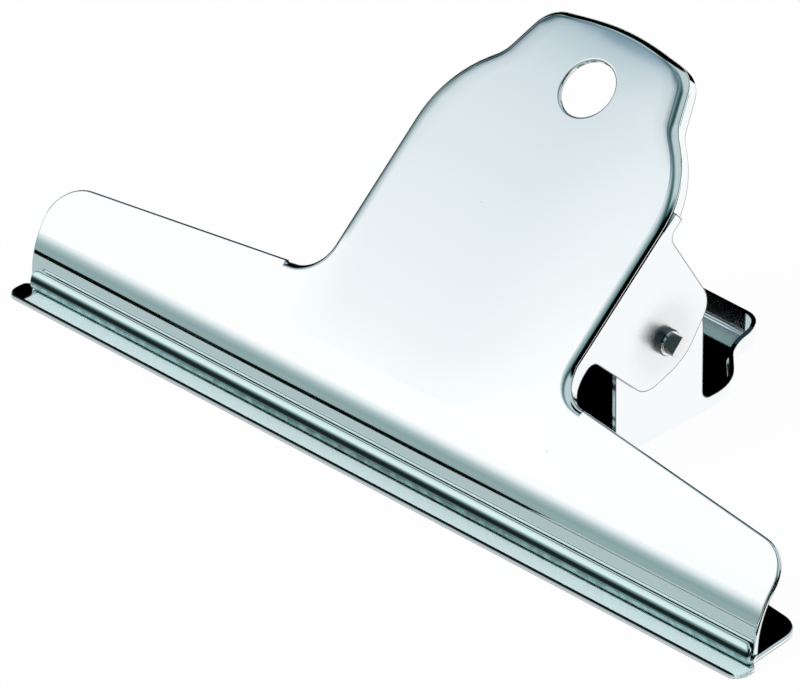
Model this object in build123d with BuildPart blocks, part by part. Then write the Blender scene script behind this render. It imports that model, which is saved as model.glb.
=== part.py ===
"""Bulldog clip: two pressed steel plates, a hinge pin and a torsion spring.

The clip lies on its back plate with the jaw closed.  X runs along the jaw, Y from
the lips towards the handles and Z up from the surface that the back plate lies on.
The origin is the middle of the footprint.  Both plates are drawn in their own
frame: x along the jaw, v up the handle from the pin, and depth from the plate's
outer face towards the other plate.
"""

import os
from collections import namedtuple
from math import asin, atan2, ceil, cos, hypot, pi, radians, sin, sqrt, tan

from build123d import *

# Sheet and hinge
sheet = 0.7  # steel sheet of both plates
bend_radius = 1.4  # outside radius of every pressed edge
plate_angle = 40.8  # angle between the plates with the jaw closed
pin_height = 17.3  # pin axis over the back plate's outer face
pin_depth = 15.1  # pin axis behind the front plate's outer face
pin_diameter = 3.4
pin_running_gap = 0.06  # radial play of the pin in the back ears
ear_gap = 0.25  # side play between a front ear and a back ear

# Handles, measured up the plate from the pin
handle_half_width = 24.2  # front handle; the back one fits between its ears
front_crown = 35.4  # top of the front handle
back_crown = 30.4  # top of the back handle, which is shorter
front_crown_fall = 2.1  # how far the top edge falls to its corners
back_crown_fall = 0.4
crown_roundness = 2.97  # radius of a handle's top edge over its head's half width
front_head_inset = 10.25  # head's corners, in from the handle's sides
back_head_inset = 6.65
front_head_radius = 5.2
back_head_radius = 4.0
front_neck_inset = 7.25
back_neck_inset = 7.15
front_neck_height = 25.3
back_neck_height = 23.0
neck_radius = 5.0
front_shoulder_radius = 18.0
back_shoulder_radius = 10.0
hole_diameter = 8.9  # hanging hole
hole_drop = 10.3  # hole centre under the top edge

# Rims round the handles
front_rim = 3.3
back_rim = 2.9
tail_rim = 4.3  # back rim where it crosses the handle's end
tail_rim_start = 2.6  # from the handle's end to where it starts to come down
tail_rim_fall = 5.0  # length over which it comes down to the side rim
rim_run_out = 5.5  # how far the rim runs along the wing before it dies
rim_last = 0.75  # height that is left where it dies

# Wings and lips
jaw_length = 146.1
edge_roll = 0.4  # rounding that blanking leaves on the upper edges
lip_ledge = 2.6  # back lip's edge in front of the hem
lip_half_length = 73.9  # the back lip runs past the front jaw
lip_depth = 3.7  # lip's ends, from its edge to where they step in
lip_step = 1.2  # length of that step
lip_neck = 1.5  # and how far it goes in
lip_radius = 2.0
lip_step_radius = 1.0
back_wing_end = 71.5  # upper corner of a back wing
back_wing_fall = 0.8  # that corner under the front plate's wing line
back_wing_radius = 4.5
wing_drop = 13.2  # wing line under the pin at mid length
wing_slope = 0.11
wing_radius = 6.0
root_radius = 5.0  # between handle and wing
jaw_bend_radius = 14.0  # outside of the front plate's bend
jaw_angle = 86.0  # front plate's slope below its bend
jaw_run = 1.1  # straight run from the bend to the hem
jaw_gap = 0.06  # left between the closed lips
hem_radius = 1.2  # outside of the fold
hem_rise = 0.75  # straight start of the folded flap
hem_lean = 17.5  # lean of the flap where it leaves the fold
hem_curl_radius = 1.65  # the flap then curls in to the plate
hem_curl = 44.5
hem_left_end = 71.5  # the flap does not sit quite in the middle of the jaw
hem_right_end = 73.2
hem_corner = 1.3

# Ears
front_ear_tip = 6.5  # corners of the front ear, from the pin and the plate
front_ear_upper = 11.9
front_ear_upper_draft = 2.9
front_ear_upper_fall = 2.3
front_ear_lower = 9.5
front_ear_lower_draft = 1.6
front_ear_lower_fall = 3.4
front_ear_corner = 4.0
front_ear_crown = 9.0
back_ear_width = 18.0
back_ear_tip = 5.9
back_ear_corner = 8.0
ear_root_radius = 1.6

# Pin ends
collar_diameter = 4.1
collar_length = 1.2
collar_chamfer = 0.25
tip_diameter = 3.1
tip_length = 1.8
tip_blade = 1.3  # thickness that the tip is pinched to
tip_turn = 45.0

# Spring
wire_diameter = 1.8
spring_play = 0.6  # radial play of the coil on the pin
spring_pitch = 2.5
spring_whole_turns = 10
spring_foot_height = 14.0  # feet up the handles from the pin
spring_foot_radius = 2.4
spring_foot_length = 3.0
spring_foot_gap = 0.03  # left between a foot and its plate

# Derived places
slack = 2.0  # how far cutting shapes run past what they cut
touch = sheet / 10  # nearness that counts as the same place
pin_radius = pin_diameter / 2
pin_bore = pin_radius + pin_running_gap
jaw_half = jaw_length / 2
back_half_width = handle_half_width - sheet - ear_gap
lean = radians(plate_angle)
steep = radians(jaw_angle)


def front_side(v, depth):
    """Side view (y from the pin, z) of a point of the front plate."""
    inward = depth - pin_depth
    return (
        v * cos(lean) + inward * sin(lean),
        pin_height + v * sin(lean) - inward * cos(lean),
    )


# Front jaw, in side view: its hem rests on the back lip and the rest follows upwards
fold_wall = hem_radius - sheet
fold_height = sheet + jaw_gap + hem_radius
bend_end_height = fold_height + jaw_run * sin(steep) - fold_wall * cos(steep)
bend_centre_height = bend_end_height - jaw_bend_radius * cos(steep)
pin_to_bend = bend_centre_height - front_side(0, jaw_bend_radius)[1]
bend_v = pin_to_bend / sin(lean)
bend_centre = front_side(bend_v, jaw_bend_radius)
bend_middle_radius = jaw_bend_radius - sheet / 2
bend_end = (
    bend_centre[0] - bend_middle_radius * sin(steep),
    bend_centre[1] + bend_middle_radius * cos(steep),
)
run_end = (bend_end[0] - jaw_run * cos(steep), bend_end[1] - jaw_run * sin(steep))
fold_middle_radius = hem_radius - sheet / 2
fold_centre = (
    run_end[0] - fold_middle_radius * sin(steep),
    run_end[1] + fold_middle_radius * cos(steep),
)
fold_start = jaw_angle - 90
fold_turn = 180 + fold_start + hem_lean
flap = radians(hem_lean)
fold_end = (
    fold_centre[0] - fold_middle_radius * cos(flap),
    fold_centre[1] + fold_middle_radius * sin(flap),
)
rise_end = (fold_end[0] + hem_rise * sin(flap), fold_end[1] + hem_rise * cos(flap))
curl_centre = (
    rise_end[0] + hem_curl_radius * cos(flap),
    rise_end[1] - hem_curl_radius * sin(flap),
)
lip_reach = hem_radius + lip_ledge - fold_centre[0]

# Frames
pin_y = (lip_reach - back_crown) / 2
pin_point = Vector(0, pin_y, pin_height)
into_front = Vector(0, sin(lean), -cos(lean))
side_frame = Plane(origin=(0, pin_y, 0), x_dir=(0, 1, 0), z_dir=(1, 0, 0))
back_frame = Plane(origin=(0, pin_y, 0), x_dir=(1, 0, 0), z_dir=(0, 0, 1))
front_frame = Plane(
    origin=pin_point - into_front * pin_depth, x_dir=(-1, 0, 0), z_dir=into_front
)


def wing_line(x):
    """Height of the wing's upper edge at a distance x from the middle."""
    return -wing_drop - wing_slope * x


def mirrored(points):
    """A right-hand outline from the top down, closed by its mirror image."""
    return points + [(-x, v) for x, v in reversed(points) if x > 0]


def mirrored_radii(points, radii):
    """Corner radii for mirrored(points)."""
    return radii + [r for (x, _), r in reversed(list(zip(points, radii))) if x > 0]


Handle = namedtuple(
    "Handle", "half_width crown fall head head_radius neck neck_height shoulder_radius"
)
front_handle = Handle(
    handle_half_width,
    front_crown,
    front_crown_fall,
    handle_half_width - front_head_inset,
    front_head_radius,
    handle_half_width - front_neck_inset,
    front_neck_height,
    front_shoulder_radius,
)
back_handle = Handle(
    back_half_width,
    back_crown,
    back_crown_fall,
    back_half_width - back_head_inset,
    back_head_radius,
    back_half_width - back_neck_inset,
    back_neck_height,
    back_shoulder_radius,
)


def tray_base(half_width):
    """Height of the straight line where a handle's tray ends on the plate."""
    return wing_line(half_width + rim_run_out) - 2 * bend_radius


def tray_outline(handle, beyond):
    """Handle and rim run-out, carried on beyond its base and its two ends."""
    side = handle.half_width
    crown_radius = crown_roundness * handle.head
    peak = handle.crown + crown_radius * (1 / cos(atan2(handle.fall, handle.head)) - 1)
    end = side + rim_run_out + beyond
    points = [
        (0, peak),
        (handle.head, peak - handle.fall),
        (handle.neck, handle.neck_height),
        (side, handle.neck_height + handle.neck - side),
        (side, wing_line(side)),
        (end, wing_line(end)),
        (end, tray_base(side) - beyond),
    ]
    radii = [
        crown_radius,
        handle.head_radius,
        neck_radius,
        handle.shoulder_radius,
        root_radius,
        0,
        0,
    ]
    return mirrored(points), mirrored_radii(points, radii)


def wing_outline(half_width, corners):
    """Both wings and the strip that joins them, under the tray.

    corners are (x, v, radius) from a wing's upper end down to the base.
    """
    start = half_width + rim_run_out
    points = [(start, tray_base(half_width)), (start, wing_line(start))]
    points = points + [(x, v) for x, v, _ in corners]
    radii = [0, 0] + [radius for _, _, radius in corners]
    return mirrored(points), mirrored_radii(points, radii)


def pressed_edges(frame, part, depth, base, end):
    """Edges at one depth of a tray that are pressed over: not its base or its ends."""
    chosen = []
    for edge in part.edges():
        middle = frame.to_local_coords(edge.center())
        first = frame.to_local_coords(edge.position_at(0))
        last = frame.to_local_coords(edge.position_at(1))
        away = max(abs(place.Z - depth) for place in (first, middle, last))
        if away < touch and middle.Y > base + touch and abs(middle.X) < end - touch:
            chosen.append(edge)
    return chosen


def tray_solid(frame, handle, depth):
    """A handle pressed into a tray: a flat face with a rim all round but at its base."""
    half_width = handle.half_width
    base = tray_base(half_width)
    end = half_width + rim_run_out
    with BuildPart() as void:
        with BuildSketch(frame.offset(sheet)):
            with BuildLine():
                points, radii = tray_outline(handle, slack)
                FilletPolyline(*points, radius=radii, close=True)
            make_face()
            offset(amount=-sheet)
        extrude(amount=depth)
        fillet(
            pressed_edges(frame, void.part, sheet, base - slack + sheet, end + slack - sheet),
            bend_radius - sheet,
        )
    with BuildPart() as tray:
        with BuildSketch(frame):
            with BuildLine():
                points, radii = tray_outline(handle, 0)
                FilletPolyline(*points, radius=radii, close=True)
            make_face()
        extrude(amount=depth)
        fillet(pressed_edges(frame, tray.part, 0, base, end), bend_radius)
        add(void.part, mode=Mode.SUBTRACT)
        with BuildSketch(Plane(origin=frame.origin, x_dir=frame.x_dir, z_dir=frame.y_dir)):
            for hand in (1, -1):
                with BuildLine():
                    Polyline(
                        (hand * half_width, -depth),
                        (hand * end, -rim_last),
                        (hand * (end + slack), -rim_last),
                        (hand * (end + slack), -depth - slack),
                        (hand * half_width, -depth - slack),
                        close=True,
                    )
                make_face()
        extrude(amount=-jaw_half, mode=Mode.SUBTRACT)
    return tray.part


def ear_outline(side, rim, upper, lower, corners):
    """Side view of an ear with the strip of rim that it grows from, and its radii.

    side turns (v, depth) into the side view; upper and lower are where the ear's
    two edges meet the rim; corners are (v, depth, radius) from the upper edge round.
    """
    run = 2 * ear_root_radius
    rows = [(upper + run, bend_radius, 0), (upper + run, rim, 0), (upper, rim, ear_root_radius)]
    rows = rows + corners
    rows = rows + [(lower, rim, ear_root_radius), (lower - run, rim, 0), (lower - run, bend_radius, 0)]
    return [side(v, depth) for v, depth, _ in rows], [radius for _, _, radius in rows]


def back_side(v, depth):
    """Side view (y from the pin, z) of a point of the back plate."""
    return (v, depth)


def ear_frames(half_width):
    """Planes that a pair of ears is drawn on, each a sheet thick towards +X."""
    return [side_frame.offset(half_width - sheet), side_frame.offset(-half_width)]


def hole_punch(frame, crown):
    """Solid that a hanging hole takes out of a plate, with a rolled outer edge."""
    wall = hole_diameter / 2
    mouth = wall + edge_roll
    centre = frame.origin + frame.y_dir * (crown - hole_drop)
    with BuildPart() as punch:
        with BuildSketch(Plane(origin=centre, x_dir=frame.x_dir, z_dir=frame.y_dir)):
            with BuildLine():
                Polyline((0, -sheet - slack), (0, slack), (mouth, slack), (mouth, 0))
                CenterArc((mouth, -edge_roll), edge_roll, 90, 90)
                Polyline((wall, -edge_roll), (wall, -sheet - slack), (0, -sheet - slack))
            make_face()
        revolve(axis=Axis(centre, frame.z_dir))
    return punch.part


# Back wings, with a plain lip that is longer than they are
lip_in = lip_half_length - lip_neck
with BuildPart() as back_wings:
    with BuildSketch(back_frame):
        with BuildLine():
            points, radii = wing_outline(
                back_half_width,
                [
                    (back_wing_end, wing_line(back_wing_end) - back_wing_fall, back_wing_radius),
                    (lip_in, lip_depth + lip_step - lip_reach, lip_step_radius),
                    (lip_half_length, lip_depth - lip_reach, lip_step_radius),
                    (lip_half_length, -lip_reach, lip_radius),
                ],
            )
            FilletPolyline(*points, radius=radii, close=True)
        make_face()
    extrude(amount=sheet)
    upper_edges = back_wings.faces().sort_by(Axis.Z)[-1].edges()
    inner_start = back_half_width + rim_run_out + touch
    fillet(
        [
            edge
            for edge in upper_edges
            if abs(edge.center().X) > inner_start or edge.center().Y < pin_y - lip_reach + touch
        ],
        edge_roll,
    )

# Back plate: a flat sheet with a rim round its handle, two ears and the wings
back_ear_half = back_ear_width / 2
back_ear_top = pin_height + back_ear_tip
with BuildPart() as back_plate:
    add(tray_solid(back_frame, back_handle, tail_rim))
    with BuildSketch(side_frame):
        with BuildLine():
            Polyline(
                (-lip_reach, back_rim),
                (back_crown - tail_rim_fall - tail_rim_start, back_rim),
                (back_crown - tail_rim_start, tail_rim),
                (back_crown - tail_rim_start, tail_rim + slack),
                (-lip_reach, tail_rim + slack),
                close=True,
            )
        make_face()
    extrude(amount=jaw_length, both=True, mode=Mode.SUBTRACT)
    add(back_wings.part)
    with BuildSketch(*ear_frames(back_half_width)):
        with BuildLine():
            points, radii = ear_outline(
                back_side,
                back_rim,
                back_ear_half,
                -back_ear_half,
                [
                    (back_ear_half, back_ear_top, back_ear_corner),
                    (-back_ear_half, back_ear_top, back_ear_corner),
                ],
            )
            FilletPolyline(*points, radius=radii, close=True)
        make_face()
    extrude(amount=sheet)
    with BuildSketch(side_frame):
        with Locations((0, pin_height)):
            Circle(pin_bore)
    extrude(amount=handle_half_width, both=True, mode=Mode.SUBTRACT)
    add(hole_punch(back_frame, back_crown), mode=Mode.SUBTRACT)


def side_gap(line, edge):
    """Distance, in side view, from the middle of an edge to a line of the section."""
    middle = edge.position_at(1 / 2)
    return line.wires()[0].distance_to(Vector(0, middle.Y, middle.Z))


# Front jaw: the plate below the handle, bent down onto the back lip and hemmed
outer_end = (
    bend_centre[0] - jaw_bend_radius * sin(steep),
    bend_centre[1] + jaw_bend_radius * cos(steep),
)
outer_run = (
    outer_end,
    (outer_end[0] - jaw_run * cos(steep), outer_end[1] - jaw_run * sin(steep)),
)
with BuildPart() as front_jaw:
    with BuildSketch(side_frame):
        with BuildLine():
            wing_top = wing_line(handle_half_width)
            Line(front_side(wing_top, sheet / 2), front_side(bend_v, sheet / 2))
            CenterArc(
                bend_centre, bend_middle_radius, 90 + plate_angle, jaw_angle - plate_angle
            )
            Line(bend_end, run_end)
        trace(line_width=sheet)
    extrude(amount=jaw_half, both=True)
    with BuildSketch(front_frame):
        with BuildLine():
            points, radii = wing_outline(
                handle_half_width,
                [(jaw_half, wing_line(jaw_half), wing_radius), (jaw_half, -jaw_length, 0)],
            )
            FilletPolyline(*points, radius=radii, close=True)
        make_face()
    extrude(amount=jaw_half, both=True, mode=Mode.INTERSECT)
    with BuildLine(side_frame, mode=Mode.PRIVATE) as outer_side:
        Line(front_side(wing_top, 0), front_side(bend_v, 0))
        CenterArc(bend_centre, jaw_bend_radius, 90 + plate_angle, jaw_angle - plate_angle)
        Line(*outer_run)
    wing_start = handle_half_width + rim_run_out + touch
    fillet(
        [
            edge
            for edge in front_jaw.edges()
            if abs(edge.center().X) > wing_start and side_gap(outer_side, edge) < touch
        ],
        edge_roll,
    )

# Hem flap: folded up outside the jaw's edge
outer_fold_end = (
    fold_centre[0] - hem_radius * cos(flap),
    fold_centre[1] + hem_radius * sin(flap),
)
outer_rise_end = (
    outer_fold_end[0] + hem_rise * sin(flap),
    outer_fold_end[1] + hem_rise * cos(flap),
)
with BuildPart() as hem:
    with BuildSketch(side_frame.offset(-hem_left_end)):
        with BuildLine():
            CenterArc(fold_centre, fold_middle_radius, fold_start, -fold_turn)
            Line(fold_end, rise_end)
            CenterArc(curl_centre, hem_curl_radius, 180 - hem_lean, -hem_curl)
        trace(line_width=sheet)
    extrude(amount=hem_left_end + hem_right_end)
    corner_edges = hem.edges().filter_by(GeomType.LINE).filter_by(Axis.X, reverse=True)
    fillet(corner_edges.group_by(Axis.Z)[-1], hem_corner)
    with BuildLine(side_frame, mode=Mode.PRIVATE) as flap_side:
        CenterArc(fold_centre, hem_radius, fold_start, -fold_turn)
        Line(outer_fold_end, outer_rise_end)
        CenterArc(curl_centre, hem_curl_radius + sheet / 2, 180 - hem_lean, -hem_curl)
    fillet(
        [
            edge
            for edge in hem.edges()
            if abs(edge.position_at(1 / 2).X) > hem_left_end - 2 * hem_corner
            and side_gap(flap_side, edge) < touch
        ],
        edge_roll,
    )

# Front plate: handle tray, jaw, hem and two ears that take the pin
front_ear_reach = pin_depth + front_ear_tip
front_ear_upper_tip = front_ear_upper - front_ear_upper_draft
front_ear_lower_tip = front_ear_lower - front_ear_lower_draft
with BuildPart() as front_plate:
    add(tray_solid(front_frame, front_handle, front_rim))
    add(front_jaw.part)
    add(hem.part)
    with BuildSketch(*ear_frames(handle_half_width)):
        with BuildLine():
            points, radii = ear_outline(
                front_side,
                front_rim,
                front_ear_upper - front_ear_upper_draft * front_rim / front_ear_reach,
                front_ear_lower_draft * front_rim / front_ear_reach - front_ear_lower,
                [
                    (front_ear_upper_tip, front_ear_reach - front_ear_upper_fall, front_ear_corner),
                    (0, front_ear_reach, front_ear_crown),
                    (-front_ear_lower_tip, front_ear_reach - front_ear_lower_fall, front_ear_corner),
                ],
            )
            FilletPolyline(*points, radius=radii, close=True)
        make_face()
    extrude(amount=sheet)
    with BuildSketch(side_frame):
        with Locations((0, pin_height)):
            Circle(pin_radius)
    extrude(amount=jaw_half, both=True, mode=Mode.SUBTRACT)
    add(hole_punch(front_frame, front_crown), mode=Mode.SUBTRACT)

# Hinge pin: a shank with a collar and a pinched tip at each end
collar_end = handle_half_width + collar_length
tip_end = collar_end + tip_length
turn = radians(tip_turn)
tip_frame = Plane(origin=pin_point, x_dir=(1, 0, 0), z_dir=(0, cos(turn), sin(turn)))
with BuildPart() as hinge_pin:
    with BuildSketch(Plane(origin=pin_point, x_dir=(1, 0, 0), z_dir=(0, 0, 1))):
        with BuildLine():
            Polyline(
                (-tip_end, 0),
                (-tip_end, tip_diameter / 2),
                (-collar_end, tip_diameter / 2),
                (-collar_end, collar_diameter / 2 - collar_chamfer),
                (-collar_end + collar_chamfer, collar_diameter / 2),
                (-handle_half_width, collar_diameter / 2),
                (-handle_half_width, pin_radius),
                (handle_half_width, pin_radius),
                (handle_half_width, collar_diameter / 2),
                (collar_end - collar_chamfer, collar_diameter / 2),
                (collar_end, collar_diameter / 2 - collar_chamfer),
                (collar_end, tip_diameter / 2),
                (tip_end, tip_diameter / 2),
                (tip_end, 0),
                close=True,
            )
        make_face()
    revolve(axis=Axis(pin_point, (1, 0, 0)))
    with BuildSketch(tip_frame):
        for end in (1, -1):
            for face in (1, -1):
                with BuildLine():
                    Polyline(
                        (end * collar_end, face * tip_diameter / 2),
                        (end * tip_end, face * tip_blade / 2),
                        (end * (tip_end + slack), face * tip_blade / 2),
                        (end * (tip_end + slack), face * collar_diameter),
                        (end * collar_end, face * collar_diameter),
                        close=True,
                    )
                make_face()
    extrude(amount=collar_diameter, both=True, mode=Mode.SUBTRACT)

# Torsion spring: one wire, from a foot on the back handle to a foot on the front one
wire_radius = wire_diameter / 2
coil_radius = pin_radius + spring_play + wire_radius
foot_depth = sheet + spring_foot_gap + wire_radius
back_foot = Vector(0, spring_foot_height, foot_depth - pin_height)
front_foot_side = front_side(spring_foot_height, foot_depth)
front_foot = Vector(0, front_foot_side[0], front_foot_side[1] - pin_height)


def leg_angle(foot):
    """Direction of a leg that leaves the coil on a tangent and ends over its foot."""
    reach = hypot(foot.Y, foot.Z)
    return atan2(foot.Z, foot.Y), asin(coil_radius / reach)


back_foot_angle, back_swing = leg_angle(back_foot)
front_foot_angle, front_swing = leg_angle(front_foot)
coil_start = back_foot_angle + back_swing - pi / 2
coil_stop = front_foot_angle - front_swing + pi / 2
coil_sweep = coil_start - coil_stop + 2 * pi * spring_whole_turns
coil_length = spring_pitch * coil_sweep / (2 * pi)
coil_rise = spring_pitch / (2 * pi * coil_radius)


def coil_place(swept):
    """Place and direction on the coil after it has swept an angle from its start."""
    angle = coil_start - swept
    place = pin_point + Vector(
        coil_length * (swept / coil_sweep - 1 / 2),
        coil_radius * cos(angle),
        coil_radius * sin(angle),
    )
    return place, Vector(coil_rise, sin(angle), -cos(angle)).normalized()


def biarc(start, start_way, end, end_way):
    """Joint of the two arcs that run from one place and direction to another."""
    chord = end - start
    ways = start_way + end_way
    along = chord.dot(ways)
    spread = 2 * (1 - start_way.dot(end_way))
    arm = (sqrt(along * along + spread * chord.dot(chord)) - along) / spread
    first = start + start_way * arm
    last = end - end_way * arm
    return (first + last) * (1 / 2), (last - first).normalized()


def leg_places(coil_end, outward, foot):
    """Corner over the foot, arc ends and foot end of a leg that leaves the coil."""
    run = sqrt(foot.Y * foot.Y + foot.Z * foot.Z - coil_radius * coil_radius)
    corner = coil_end + outward * (run * sqrt(1 + coil_rise * coil_rise))
    foot_way = Vector(outward.X / abs(outward.X), 0, 0)
    arm = spring_foot_radius * tan(outward.get_angle(foot_way) * pi / (2 * 180))
    bend = corner - outward * arm
    heel = corner + foot_way * arm
    return bend, heel, heel + foot_way * spring_foot_length


steps = ceil(coil_sweep / pi)
first_place, first_way = coil_place(0)
last_place, last_way = coil_place(coil_sweep)
back_bend, back_heel, back_toe = leg_places(first_place, first_way * -1, back_foot)
front_bend, front_heel, front_toe = leg_places(last_place, last_way, front_foot)
with BuildLine() as wire:
    Line(back_toe, back_heel)
    TangentArc(back_heel, back_bend, tangent=back_heel - back_toe)
    Line(back_bend, first_place)
    for step in range(steps):
        start, start_way = coil_place(coil_sweep * step / steps)
        end, end_way = coil_place(coil_sweep * (step + 1) / steps)
        joint, joint_way = biarc(start, start_way, end, end_way)
        TangentArc(start, joint, tangent=start_way)
        TangentArc(joint, end, tangent=joint_way)
    Line(last_place, front_bend)
    TangentArc(front_bend, front_heel, tangent=last_way)
    Line(front_heel, front_toe)
with BuildPart() as torsion_spring:
    with BuildSketch(Plane(origin=back_toe, z_dir=back_heel - back_toe)):
        Circle(wire_radius)
    sweep(path=wire.wires()[0])

# The wire's least gap to itself, between places that lie far enough apart along it
wire_path = wire.wires()[0]
spacing = wire_radius / 2
count = ceil(wire_path.length / spacing)
places = [wire_path.position_at(index / count) for index in range(count + 1)]
apart = ceil(pi * coil_radius / spacing)
least = min(
    (places[far] - places[near]).length
    for near in range(count + 1)
    for far in range(near + apart, count + 1)
)
print(f"least gap of the spring wire to itself {least - wire_diameter:.2f} mm")

os.makedirs("parts", exist_ok=True)
back_plate.part.label = "back_plate"
front_plate.part.label = "front_plate"
hinge_pin.part.label = "hinge_pin"
torsion_spring.part.label = "torsion_spring"
export_step(back_plate.part, "parts/back_plate.step")
export_step(front_plate.part, "parts/front_plate.step")
export_step(hinge_pin.part, "parts/hinge_pin.step")
export_step(torsion_spring.part, "parts/torsion_spring.step")
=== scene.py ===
"""A wide sprung paper clip in bright plated steel, lying on its back plate."""

import math

import bmesh
import bpy
from mathutils import Matrix, Vector


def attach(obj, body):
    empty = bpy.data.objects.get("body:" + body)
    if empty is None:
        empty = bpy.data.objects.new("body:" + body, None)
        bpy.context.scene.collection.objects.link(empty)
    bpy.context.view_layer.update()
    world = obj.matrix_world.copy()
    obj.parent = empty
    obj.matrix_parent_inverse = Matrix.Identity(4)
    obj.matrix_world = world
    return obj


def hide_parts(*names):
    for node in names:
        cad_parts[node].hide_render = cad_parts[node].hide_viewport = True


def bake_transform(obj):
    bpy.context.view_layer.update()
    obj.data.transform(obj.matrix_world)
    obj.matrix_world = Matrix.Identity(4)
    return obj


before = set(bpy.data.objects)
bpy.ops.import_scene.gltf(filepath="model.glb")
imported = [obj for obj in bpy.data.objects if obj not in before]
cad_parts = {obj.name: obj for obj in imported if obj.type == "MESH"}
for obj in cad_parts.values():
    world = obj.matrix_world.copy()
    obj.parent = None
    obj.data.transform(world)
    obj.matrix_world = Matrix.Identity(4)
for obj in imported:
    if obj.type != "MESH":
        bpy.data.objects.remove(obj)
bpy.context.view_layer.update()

MM = 0.001

# Camera: the photograph's own viewing angle through a long lens
EYE = Vector((723.35, -737.18, 634.72)) * MM
VIEW = Vector((-0.609266, 0.599639, -0.518872))
ROLL = math.radians(-0.636)
LENS = 377.42
SENSOR = 36.0

# Places on the clip, from the drawing
PIN = Vector((0, 3.64848, 17.3)) * MM
PLATE_ANGLE = math.radians(40.8)
PIN_DEPTH = 15.1 * MM
UP_HANDLE = Vector((0, math.cos(PLATE_ANGLE), math.sin(PLATE_ANGLE)))
OUT_OF_FACE = Vector((0, -math.sin(PLATE_ANGLE), math.cos(PLATE_ANGLE)))
FACE_CENTRE = PIN + OUT_OF_FACE * PIN_DEPTH

# Pin
PIN_RADIUS = 1.7 * MM
EAR_FACE = 24.2 * MM
COLLAR_RADIUS = 2.05 * MM
COLLAR_END = 25.4 * MM
TIP_RADIUS = 1.55 * MM
COLLAR_CHAMFER = 0.25 * MM
TIP_END = 27.2 * MM
TIP_BLADE = 0.65 * MM
TIP_TURN = math.radians(45)

# Spring
WIRE_RADIUS = 0.9 * MM
COIL_RADIUS = 3.2 * MM
COIL_PITCH = 2.5 * MM
WHOLE_TURNS = 10
FOOT_HEIGHT = 14.0 * MM
FOOT_DEPTH = 1.63 * MM
FOOT_BEND = 2.4 * MM
FOOT_LENGTH = 3.0 * MM

# Mesh: facets round each shape, the angles up to which it is shaded smoothly, and tolerances
PIN_FACETS = 48
WIRE_FACETS = 16
TURN_STEPS = 40
BEND_STEPS = 10
SMOOTH_PLATE = math.radians(32)
SMOOTH_PIN = math.radians(25)
SMOOTH_WIRE = math.radians(45)
SAME_PLACE = 1e-7
NEAR = 1e-6

# Studio
LIGHT_LEVEL = 1.06
LAMP_ENERGY = 2.0
LAMP_SPREAD = math.radians(20)
LAMP_WAY = Vector((0.3, 0.6, -0.75))
PANEL_SIZE = 0.09
PANEL_DISTANCE = 0.16
FLOOR_SIZE = 3.0
GREY = (0.44, 0.55, 0.56, 1)
DARK_GREY = (0.29, 0.41, 0.41, 1)
BLACK = (0, 0, 0, 1)

# Colours of the metal
PLATING = (0.93, 0.955, 0.96, 1)
SPECK = (0.30, 0.33, 0.33, 1)
PAINTED_EDGE_REFLECTION = (0.06, 0.07, 0.07, 1)
HEM = (0.66, 0.82, 0.82, 1)
PAINTED_CREASE_SHADE = (0.02, 0.03, 0.03, 1)
PAINTED_CURL_SHADE = (0.45, 0.58, 0.58, 1)
PAINTED_RIM_REFLECTION = (0.36, 0.44, 0.45, 1)
LIP_FILM = (0.86, 0.97, 0.98, 1)
PAINTED_LIP_EDGE_REFLECTION = (0.01, 0.012, 0.012, 1)


class Wire:
    """A node socket that can be used in sums."""

    def __init__(self, shader, socket):
        self.shader = shader
        self.socket = socket

    def maths(self, operation, *values):
        inputs = dict(enumerate((self,) + values))
        return self.shader.node("ShaderNodeMath", {"operation": operation}, inputs)

    def __add__(self, other):
        return self.maths("ADD", other)

    __radd__ = __add__

    def __mul__(self, other):
        return self.maths("MULTIPLY", other)

    __rmul__ = __mul__

    def __sub__(self, other):
        return self.maths("SUBTRACT", other)

    def __rsub__(self, other):
        return self.maths("MULTIPLY_ADD", -1.0, other)

    def __pow__(self, other):
        return self.maths("POWER", other)

    def step(self, low, high):
        """0 below low, 1 above high and smooth between."""
        return self.shader.node(
            "ShaderNodeMapRange",
            {"interpolation_type": "SMOOTHSTEP"},
            {"Value": self, "From Min": low, "From Max": high},
        )

    def ramp(self, *stops):
        """A grey level from stops of (place, level), straight between them."""
        colours = [(place, (level, level, level, 1)) for place, level in stops]
        return self.shader.node("ShaderNodeValToRGB", {"stops": colours}, {"Fac": self})

    def mix(self, low, high):
        """Colour low where this is 0 and high where it is 1."""
        return self.shader.node(
            "ShaderNodeMix", {"data_type": "RGBA"}, {"Factor": self, 6: low, 7: high}
        ).out(2)

    def out(self, name):
        return Wire(self.shader, self.socket.node.outputs[name])


class Shader:
    """One node tree."""

    def __init__(self, tree):
        self.tree = tree
        tree.nodes.clear()

    def node(self, kind, settings, inputs):
        """Add a node: its settings first, then the values or links of its sockets."""
        node = self.tree.nodes.new(kind)
        for name, value in settings.items():
            if name == "stops":
                for place, _ in value[2:]:
                    node.color_ramp.elements.new(place)
                for stop, (place, colour) in zip(node.color_ramp.elements, value):
                    stop.position = place
                    stop.color = colour
            else:
                setattr(node, name, value)
        for name, value in inputs.items():
            if isinstance(value, Wire):
                self.tree.links.new(value.socket, node.inputs[name])
            else:
                node.inputs[name].default_value = value
        return Wire(self, node.outputs[0] if node.outputs else None)

    def place(self):
        """Object coordinates, whole and as three wires."""
        where = self.node("ShaderNodeTexCoord", {}, {}).out("Object")
        parts = self.node("ShaderNodeSeparateXYZ", {}, {"Vector": where})
        return where, parts.out("X"), parts.out("Y"), parts.out("Z")


def material(name):
    """An empty node material and its shader."""
    made = bpy.data.materials.new(name)
    made.use_nodes = True
    return made, Shader(made.node_tree)


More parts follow.
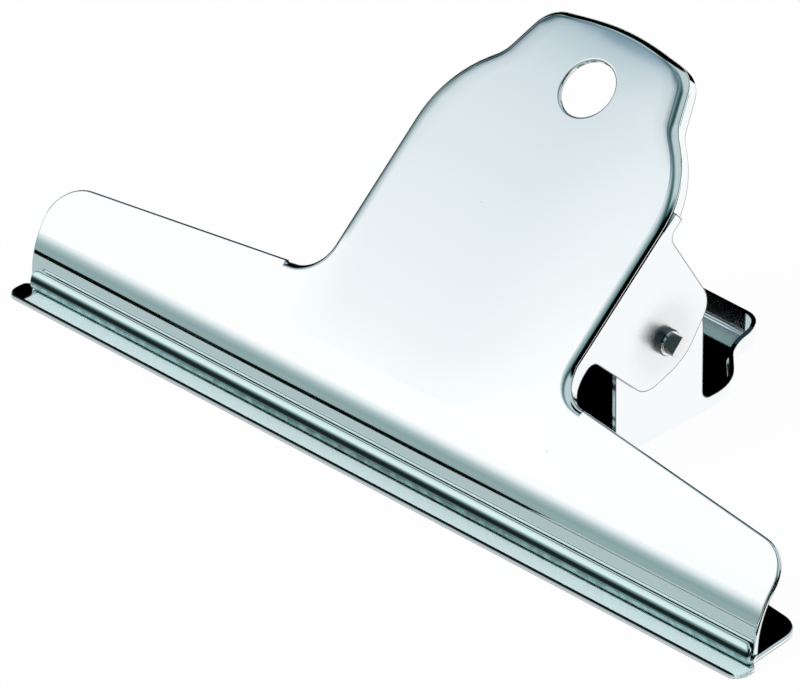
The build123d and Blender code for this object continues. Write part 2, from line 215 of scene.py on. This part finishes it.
def place_camera():
    """Long-lens camera at the photograph's angle."""
    data = bpy.data.cameras.new("camera")
    data.lens = LENS
    data.sensor_width = SENSOR
    data.sensor_fit = "HORIZONTAL"
    data.clip_end = 10
    camera = bpy.data.objects.new("camera", data)
    bpy.context.scene.collection.objects.link(camera)
    turn = VIEW.to_track_quat("-Z", "Y") @ Matrix.Rotation(ROLL, 3, "Z").to_quaternion()
    camera.matrix_world = Matrix.Translation(EYE) @ turn.to_matrix().to_4x4()
    bpy.context.scene.camera = camera


def plating(shader, where):
    """Colour and roughness of bright plating: fine scratches, specks, and a painted dark reflection
    along the sheet's edges.
    """
    cells = shader.node(
        "ShaderNodeTexVoronoi", {}, {"Vector": where, "Scale": 210.0, "Randomness": 1.0}
    )
    chosen = shader.node("ShaderNodeSeparateColor", {}, {"Color": cells.out("Color")})
    speck = (1 - cells.out("Distance").step(0.015, 0.045)) * chosen.out("Red").step(0.9, 0.92)
    haze = shader.node(
        "ShaderNodeTexNoise", {}, {"Vector": where, "Scale": 45.0, "Detail": 4.0}
    ).out(0)
    long_way = shader.node("ShaderNodeMapping", {}, {"Vector": where, "Scale": (30, 900, 900)})
    scratch = shader.node(
        "ShaderNodeTexNoise", {}, {"Vector": long_way, "Scale": 1.0, "Detail": 6.0}
    ).out(0)
    inside = shader.node(
        "ShaderNodeAmbientOcclusion",
        {"inside": True, "only_local": True, "samples": 8},
        {"Distance": 0.3 * MM},
    ).out("AO")
    colour = speck.mix(PLATING, SPECK)
    # Painted dark reflection along the sheet's edges, where the inside occlusion test finds an edge
    colour = inside.step(0.5, 0.95).mix(PAINTED_EDGE_REFLECTION, colour)
    return colour, haze * 0.03 + scratch.step(0.62, 0.75) * 0.05 + 0.035 + speck * 0.4


def metal(shader, colour, roughness, bare):
    """Metal surface, bare where bare is 1 and under a dull film where it is 0."""
    surface = shader.node(
        "ShaderNodeBsdfPrincipled",
        {},
        {"Base Color": colour, "Metallic": bare, "Roughness": roughness},
    )
    shader.node("ShaderNodeOutputMaterial", {}, {"Surface": surface})


def folded_plating():
    """Front plate: stretch marks on the fold darkened with painted shade, painted shade in the
    crease and at the top of the hem, and a painted dark reflection round the handle.
    """
    made, shader = material("plated_steel_folded")
    where, x, y, z = shader.place()
    colour, roughness = plating(shader, where)
    hem = (1 - y.step(-0.0301, -0.0297)) * (1 - z.step(0.0045, 0.0047))
    fold = hem * (1 - z.step(0.0021, 0.0025))
    # Painted shade: a black band across the crease of the hem
    crease = hem * z.step(0.0021, 0.0025) * (1 - z.step(0.0029, 0.0033))
    # Painted shade at the top of the hem, where it meets the jaw
    curl = hem * z.step(0.0036, 0.0042)
    crumbs = shader.node(
        "ShaderNodeTexNoise", {}, {"Vector": where, "Scale": 700.0, "Detail": 5.0}
    ).out(0)
    stretched = crumbs.step(0.35, 0.65)
    ends = x.maths("ABSOLUTE").step(0.01, 0.06)
    # Stretch marks on the fold, darkened as painted shade, lighter towards the plate's ends
    stretch_marks_and_shade = stretched.mix((0.13, 0.2, 0.2, 1), (0.28, 0.41, 0.41, 1))
    stretch_marks_and_shade = ends.mix(stretch_marks_and_shade, stretched.mix((0.24, 0.36, 0.36, 1), (0.42, 0.6, 0.6, 1)))
    colour = hem.mix(colour, HEM)
    colour = fold.mix(colour, stretch_marks_and_shade)
    colour = crease.mix(colour, PAINTED_CREASE_SHADE)
    colour = curl.mix(colour, PAINTED_CURL_SHADE)
    ear = (y - PIN.y).maths("POWER", 2.0) + (z - PIN.z).maths("POWER", 2.0)
    ear = (1 - ear.step(5e-6, 9e-5)) * x.maths("ABSOLUTE").step(0.0239, 0.0241)
    roughness = roughness + fold * (stretched * 0.12 + 0.12) + curl * 0.15 + ear * 0.32
    up = y * UP_HANDLE.y + z * UP_HANDLE.z - FACE_CENTRE.dot(UP_HANDLE)
    half_width = ((up + 0.012) * 20).ramp(
        (0.452, 0.912),
        (0.538, 0.888),
        (0.618, 0.824),
        (0.666, 0.756),
        (0.71, 0.672),
        (0.744, 0.62),
        (0.848, 0.548),
        (0.894, 0.45),
        (0.92, 0.3),
    )
    over = x.maths("ABSOLUTE") - half_width * 0.025
    # Painted dark reflection along the handle's outline
    rim_reflection = over.step(-0.001, 0.00035) * 0.75 + over.step(-0.0035, 0.0) * up.step(0.0, 0.02) * 0.25
    head = up.step(0.018, 0.026)
    rim_reflection = rim_reflection * (1 - x.step(-0.002, 0.002) * (1 - head)) * up.step(-0.011, -0.008)
    rim_reflection = rim_reflection * (1 - over.step(0.0006, 0.0012))
    colour = rim_reflection.mix(colour, PAINTED_RIM_REFLECTION)
    metal(shader, colour, roughness, 1.0)
    return made


def flat_plating():
    """Back plate: its lip has a dull film, and a painted dark reflection line along its edge."""
    made, shader = material("plated_steel")
    where, x, y, z = shader.place()
    colour, roughness = plating(shader, where)
    lip = (1 - y.step(-0.0312, -0.031)) * x.step(-0.0704, -0.0699) * y.step(-0.03365, -0.0336)
    # Painted dark reflection along the rolled edge of the lip
    line = (1 - y.step(-0.0337, -0.0336)) * z.step(0.00046, 0.00054)
    colour = lip.mix(colour, LIP_FILM)
    colour = line.mix(colour, PAINTED_LIP_EDGE_REFLECTION)
    metal(shader, colour, roughness + lip * 0.3, 1 - lip * 0.85)
    return made


def drawn_steel(name, dark, bright, ends):
    """Drawn wire and turned pin: finely streaked, and bright on the faces at the given places as a
    painted highlight.
    """
    made, shader = material(name)
    where, x, _, _ = shader.place()
    streak = shader.node(
        "ShaderNodeTexNoise", {}, {"Vector": where, "Scale": 1600.0, "Detail": 4.0}
    ).out(0)
    colour = streak.step(0.3, 0.7).mix(
        (dark * 0.8, dark * 0.82, dark * 0.83, 1), (dark, dark, dark, 1)
    )
    away = x.maths("ABSOLUTE")
    # Painted highlight on the faces at the given places
    for place in ends:
        face = away.step(place - 0.0001, place - 0.00005) * (1 - away.step(place, place + 0.0001))
        colour = face.mix(colour, (bright, bright, bright, 1))
    metal(shader, colour, streak * 0.12 + 0.1, 1.0)
    return made


def studio():
    """Soft light from the front, left, above and behind, with a black card behind at the left."""
    world = bpy.data.worlds.new("studio")
    bpy.context.scene.world = world
    world.use_nodes = True
    shader = Shader(world.node_tree)
    way = shader.node("ShaderNodeTexCoord", {}, {}).out("Generated")
    parts = shader.node("ShaderNodeSeparateXYZ", {}, {"Vector": way})
    x, y, z = parts.out("X"), parts.out("Y"), parts.out("Z")
    front = z.ramp((0.0, 0.36), (0.05, 0.38), (0.12, 0.5), (0.2, 0.8), (0.28, 1.0), (1.0, 1.0))
    left = z.ramp((0.0, 0.0), (0.1, 0.15), (0.235, 0.32), (0.475, 0.63), (0.7, 0.3), (1.0, 0.25))
    back = z.ramp((0.0, 0.0), (0.1, 0.3), (0.3, 0.6), (1.0, 0.6))
    back_card = (y * 0.65 - x * 0.66 + z * 0.38).step(0.79, 0.86)
    back = back * (1 - back_card) * (1 - x.step(0.72, 0.9))
    side = y.step(-0.5, -0.1)
    behind = y.step(-0.12, 0.25)
    level = front * (1 - side) + left * side
    to_right = (x * 0.5 + 0.5).ramp(
        (0.2, 1.0),
        (0.35, 0.78),
        (0.52, 0.58),
        (0.69, 0.36),
        (0.8, 0.28),
        (0.85, 0.2),
        (0.89, 0.05),
        (0.91, 0.0),
    )
    level = level * to_right * (1 - behind) + back * behind
    tint = shader.node(
        "ShaderNodeCombineXYZ", {}, {"X": level**1.35, "Y": level, "Z": level**0.97}
    )
    light = shader.node("ShaderNodeBackground", {}, {"Color": tint, "Strength": LIGHT_LEVEL})
    shader.node("ShaderNodeOutputWorld", {}, {"Surface": light})


def stand(name, mesh, made, hidden):
    """A floor, board or flag of the studio; a hidden one shows only in reflections."""
    obj = bpy.data.objects.new(name, mesh)
    bpy.context.scene.collection.objects.link(obj)
    mesh.materials.append(made)
    if hidden:
        obj.visible_camera = False
        obj.visible_shadow = False
        obj.visible_diffuse = False
    return obj


def floor():
    """Plain white floor that takes a faint shadow."""
    bm = bmesh.new()
    bmesh.ops.create_grid(bm, x_segments=1, y_segments=1, size=FLOOR_SIZE)
    mesh = bpy.data.meshes.new("floor")
    bm.to_mesh(mesh)
    bm.free()
    made, shader = material("floor_white")
    cloth = shader.node("ShaderNodeBsdfDiffuse", {}, {"Color": (0.85, 0.85, 0.85, 1)})
    glow = shader.node("ShaderNodeEmission", {}, {"Color": (1, 1, 1, 1), "Strength": 1.0})
    path = shader.node("ShaderNodeLightPath", {}, {})
    seen = path.out("Is Camera Ray") * 0.975 + path.out("Is Glossy Ray")
    mix = shader.node("ShaderNodeMixShader", {}, {0: seen, 1: cloth, 2: glow})
    shader.node("ShaderNodeOutputMaterial", {}, {"Surface": mix})
    stand("floor", mesh, made, False)


def board(name, corners, height, colour):
    """A flat board on the floor, of corners in millimetres, that the metal mirrors."""
    bm = bmesh.new()
    bm.faces.new([bm.verts.new(Vector((x, y, height)) * MM) for x, y in corners])
    mesh = bpy.data.meshes.new(name)
    bm.to_mesh(mesh)
    bm.free()
    made, shader = material(name)
    glow = shader.node("ShaderNodeEmission", {}, {"Color": colour, "Strength": 1.0})
    shader.node("ShaderNodeOutputMaterial", {}, {"Surface": glow})
    stand(name, mesh, made, True)


def soft_box():
    """Light panel that the handle's flat face mirrors, fading towards its upper edge.

    Its own x and y are the place on the face (along the jaw and up the handle) that
    mirrors it to the camera.
    """
    way = VIEW - OUT_OF_FACE * (2 * VIEW.dot(OUT_OF_FACE))
    along = (UP_HANDLE - way * UP_HANDLE.dot(way)).normalized()
    across = way.cross(along)
    centre = FACE_CENTRE + way * PANEL_DISTANCE + along * 0.00275 - across * 0.00063
    bm = bmesh.new()
    bmesh.ops.create_grid(bm, x_segments=1, y_segments=1, size=PANEL_SIZE)
    mesh = bpy.data.meshes.new("soft_box")
    bm.to_mesh(mesh)
    bm.free()
    made, shader = material("soft_box")
    _, x, y, _ = shader.place()
    level = ((y + 0.03) * 10).ramp(
        (0.0, 1.0),
        (0.16, 0.9),
        (0.28, 0.865),
        (0.4, 0.82),
        (0.49, 0.78),
        (0.55, 0.735),
        (0.58, 0.685),
        (0.61, 0.61),
        (0.625, 0.57),
        (0.633, 0.44),
        (0.642, 0.3),
        (0.9, 0.27),
    )
    upper = y.step(-0.012, -0.004)
    level = level + x.step(0.0, 0.024) * (y.step(0.02, 0.032) * 0.08 + 0.09) - 0.012
    level = level - x.step(0.028, 0.07) * upper * 0.15
    level = level + (x + 0.022).maths("MINIMUM", 0.0) * upper * 4.0
    wings = x.maths("ABSOLUTE").step(0.018, 0.03) * (1 - upper)
    level = level + wings * (1 - level)
    tint = shader.node(
        "ShaderNodeCombineXYZ", {}, {"X": level**1.34, "Y": level, "Z": level**0.84}
    )
    glow = shader.node("ShaderNodeEmission", {}, {"Color": tint, "Strength": LIGHT_LEVEL})
    shader.node("ShaderNodeOutputMaterial", {}, {"Surface": glow})
    obj = stand("soft_box", mesh, made, True)
    face_x = along * 0.0961 - across * 0.8974
    face_y = along * 1.1239 + across * 0.0017
    axes = Matrix((face_x, face_y, way)).transposed().to_4x4()
    obj.matrix_world = Matrix.Translation(centre) @ axes


def key_lamp():
    """Broad lamp from the front and above, for the dull lip; bright metal doesn't mirror it."""
    light = bpy.data.lights.new("key", "SUN")
    light.energy = LAMP_ENERGY
    light.angle = LAMP_SPREAD
    lamp = bpy.data.objects.new("key", light)
    lamp.rotation_euler = LAMP_WAY.to_track_quat("-Z", "Y").to_euler()
    lamp.visible_glossy = False
    bpy.context.scene.collection.objects.link(lamp)


def piece(name, bm, made):
    """Finish a mesh as a piece of the clip."""
    for face in bm.faces:
        face.smooth = True
    mesh = bpy.data.meshes.new(name)
    bm.to_mesh(mesh)
    bm.free()
    obj = bpy.data.objects.new(name, mesh)
    bpy.context.scene.collection.objects.link(obj)
    mesh.materials.append(made)
    return obj


def pressed_plate(node, body, made):
    """A plate from its drawing's mesh, merged and shaded smoothly over its bends."""
    bm = bmesh.new()
    bm.from_mesh(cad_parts[node].data)
    bmesh.ops.remove_doubles(bm, verts=bm.verts, dist=NEAR)
    for edge in bm.edges:
        edge.smooth = edge.calc_face_angle(0) < SMOOTH_PLATE
    obj = piece(node + "_sheet", bm, made)
    normals = obj.modifiers.new("normals", "WEIGHTED_NORMAL")
    normals.keep_sharp = True
    normals.weight = 100
    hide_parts(node)
    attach(obj, body)


def hinge_pin(made):
    """Turned pin: a profile spun round its axis, with both tips pinched to a blade."""
    half = [
        (0, PIN_RADIUS),
        (EAR_FACE, PIN_RADIUS),
        (EAR_FACE, COLLAR_RADIUS),
        (COLLAR_END - COLLAR_CHAMFER, COLLAR_RADIUS),
        (COLLAR_END, COLLAR_RADIUS - COLLAR_CHAMFER),
        (COLLAR_END, TIP_RADIUS),
        (TIP_END, TIP_RADIUS),
        (TIP_END, 0),
    ]
    bm = bmesh.new()
    line = [bm.verts.new(PIN + Vector((x, radius, 0))) for x, radius in half]
    for first, last in zip(line, line[1:]):
        bm.edges.new((first, last))
    bmesh.ops.spin(
        bm,
        geom=bm.verts[:] + bm.edges[:],
        cent=PIN,
        axis=(1, 0, 0),
        angle=math.tau,
        steps=PIN_FACETS,
        use_merge=True,
    )
    bmesh.ops.remove_doubles(bm, verts=bm.verts, dist=SAME_PLACE)
    thin_way = Vector((0, math.cos(TIP_TURN), -math.sin(TIP_TURN)))
    for hand in (1, -1):
        tip = [face for face in bm.faces if max(v.co.x for v in face.verts) > COLLAR_END + NEAR]
        tip_edges = {edge for face in tip for edge in face.edges}
        tip_verts = {vert for face in tip for vert in face.verts}
        slope = Vector((TIP_RADIUS - TIP_BLADE, 0, 0)) + thin_way * (hand * (TIP_END - COLLAR_END))
        bmesh.ops.bisect_plane(
            bm,
            geom=list(tip_verts) + list(tip_edges) + tip,
            plane_co=PIN + Vector((COLLAR_END, 0, 0)) + thin_way * (hand * TIP_RADIUS),
            plane_no=slope,
            clear_outer=True,
        )
        rim = [e for e in bm.edges if e.is_boundary and e.verts[0].co.x > COLLAR_END - NEAR]
        bmesh.ops.holes_fill(bm, edges=rim)
    whole = bm.verts[:] + bm.edges[:] + bm.faces[:]
    bmesh.ops.mirror(bm, geom=whole, axis="X", merge_dist=SAME_PLACE)
    bmesh.ops.recalc_face_normals(bm, faces=bm.faces)
    for edge in bm.edges:
        edge.smooth = edge.calc_face_angle(0) < SMOOTH_PIN
    obj = piece("turned_pin", bm, made)
    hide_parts("hinge_pin")
    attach(obj, "front")


def torsion_spring(made):
    """One wire, drawn from the back foot through the coil to the front foot."""
    back_foot = Vector((0, FOOT_HEIGHT, FOOT_DEPTH - PIN.z))
    front_foot = UP_HANDLE * FOOT_HEIGHT + OUT_OF_FACE * (PIN_DEPTH - FOOT_DEPTH)
    rise = COIL_PITCH / (math.tau * COIL_RADIUS)

    def swing(foot):
        return math.atan2(foot.z, foot.y), math.asin(COIL_RADIUS / foot.length)

    back_angle, back_swing = swing(back_foot)
    front_angle, front_swing = swing(front_foot)
    start = back_angle + back_swing - math.pi / 2
    stop = front_angle - front_swing + math.pi / 2
    sweep = start - stop + math.tau * WHOLE_TURNS
    length = COIL_PITCH * sweep / math.tau

    def coil(angle, x):
        place = PIN + Vector((x, COIL_RADIUS * math.cos(angle), COIL_RADIUS * math.sin(angle)))
        return place, Vector((rise, math.sin(angle), -math.cos(angle))).normalized()

    first, first_way = coil(start, -length / 2)
    last, last_way = coil(stop, length / 2)
    along = Vector((1, 0, 0))

    def leg(foot, way):
        bend = way.angle(along)
        arm = FOOT_BEND * math.tan(bend / 2)
        run = math.sqrt((foot.length_squared - COIL_RADIUS**2) * (1 + rise * rise))
        return bend, arm, run

    bm = bmesh.new()

    def draw(ring, way):
        grown = bmesh.ops.extrude_edge_only(bm, edges=ring)["geom"]
        verts = [v for v in grown if isinstance(v, bmesh.types.BMVert)]
        bmesh.ops.translate(bm, verts=verts, vec=way)
        moved = set(verts)
        return [e for e in grown if isinstance(e, bmesh.types.BMEdge) and set(e.verts) <= moved]

    def turn(ring, centre, axis, angle, steps=BEND_STEPS, shift=(0, 0, 0)):
        done = bmesh.ops.spin(
            bm, geom=ring, cent=centre, axis=axis, angle=angle, steps=steps, dvec=shift
        )
        return [e for e in done["geom_last"] if isinstance(e, bmesh.types.BMEdge)]

    back_bend, back_arm, back_run = leg(back_foot, first_way)
    front_bend, front_arm, front_run = leg(front_foot, last_way)
    corner = first - first_way * back_run
    heel = corner - along * back_arm
    toe = heel - along * FOOT_LENGTH
    bmesh.ops.create_circle(
        bm,
        cap_ends=False,
        radius=WIRE_RADIUS,
        segments=WIRE_FACETS,
        matrix=Matrix.Translation(toe) @ along.to_track_quat("Z", "Y").to_matrix().to_4x4(),
    )
    ring = draw(bm.edges[:], along * FOOT_LENGTH)
    inward = (first_way - along * first_way.dot(along)).normalized()
    ring = turn(ring, heel + inward * FOOT_BEND, along.cross(first_way), back_bend)
    ring = draw(ring, first_way * (back_run - back_arm))
    steps = TURN_STEPS * WHOLE_TURNS
    ring = turn(ring, PIN, along, -sweep, steps, along * (length / steps))
    ring = draw(ring, last_way * (front_run - front_arm))
    bend_place = last + last_way * (front_run - front_arm)
    inward = (along - last_way * along.dot(last_way)).normalized()
    ring = turn(ring, bend_place + inward * FOOT_BEND, last_way.cross(along), front_bend)
    draw(ring, along * FOOT_LENGTH)
    bmesh.ops.holes_fill(bm, edges=[e for e in bm.edges if e.is_boundary])
    bmesh.ops.recalc_face_normals(bm, faces=bm.faces)
    for edge in bm.edges:
        edge.smooth = edge.calc_face_angle(0) < SMOOTH_WIRE
    obj = piece("spring_wire", bm, made)
    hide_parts("torsion_spring")
    PIN - along * (length / 2)
    PIN + along * (length / 2)
    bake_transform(obj)


bpy.context.scene.view_settings.view_transform = "Standard"
place_camera()
studio()
floor()
board("near_board", [(-500, -75), (140, -75), (140, -33), (-500, -33)], 0.2, GREY)
board("far_board", [(-2900, -2900), (140, -2900), (140, -75), (-2900, -75)], 0.2, DARK_GREY)
board(
    "black_bar",
    [
        (-200, -125),
        (-129, -100),
        (-100, -89),
        (-73, -81),
        (-15, -81),
        (0, -76),
        (4, -63),
        (100, -62.5),
        (100, -60.5),
        (8, -60),
        (-8, -56),
        (-43, -56),
        (-63, -57),
        (-97, -60),
        (-200, -66),
    ],
    0.4,
    BLACK,
)
board(
    "left_flag",
    [
        (-110, -15),
        (-75, -2),
        (-37, 0),
        (-37, 25),
        (-33, 60),
        (-33, 300),
        (-1200, 300),
        (-1200, -15),
    ],
    0.3,
    BLACK,
)
board("right_flag", [(85, -60), (400, -60), (400, 250), (85, 250)], 0.3, BLACK)
key_lamp()
soft_box()
pressed_plate("front_plate", "front", folded_plating())
pressed_plate("back_plate", "back", flat_plating())
# Turned pin: its dark tone is painted shade, and its collar and tip faces carry a painted highlight
hinge_pin(drawn_steel("pin_steel", 0.12, 0.85, (COLLAR_END, TIP_END)))
torsion_spring(drawn_steel("spring_steel", 0.6, 0.6, ()))
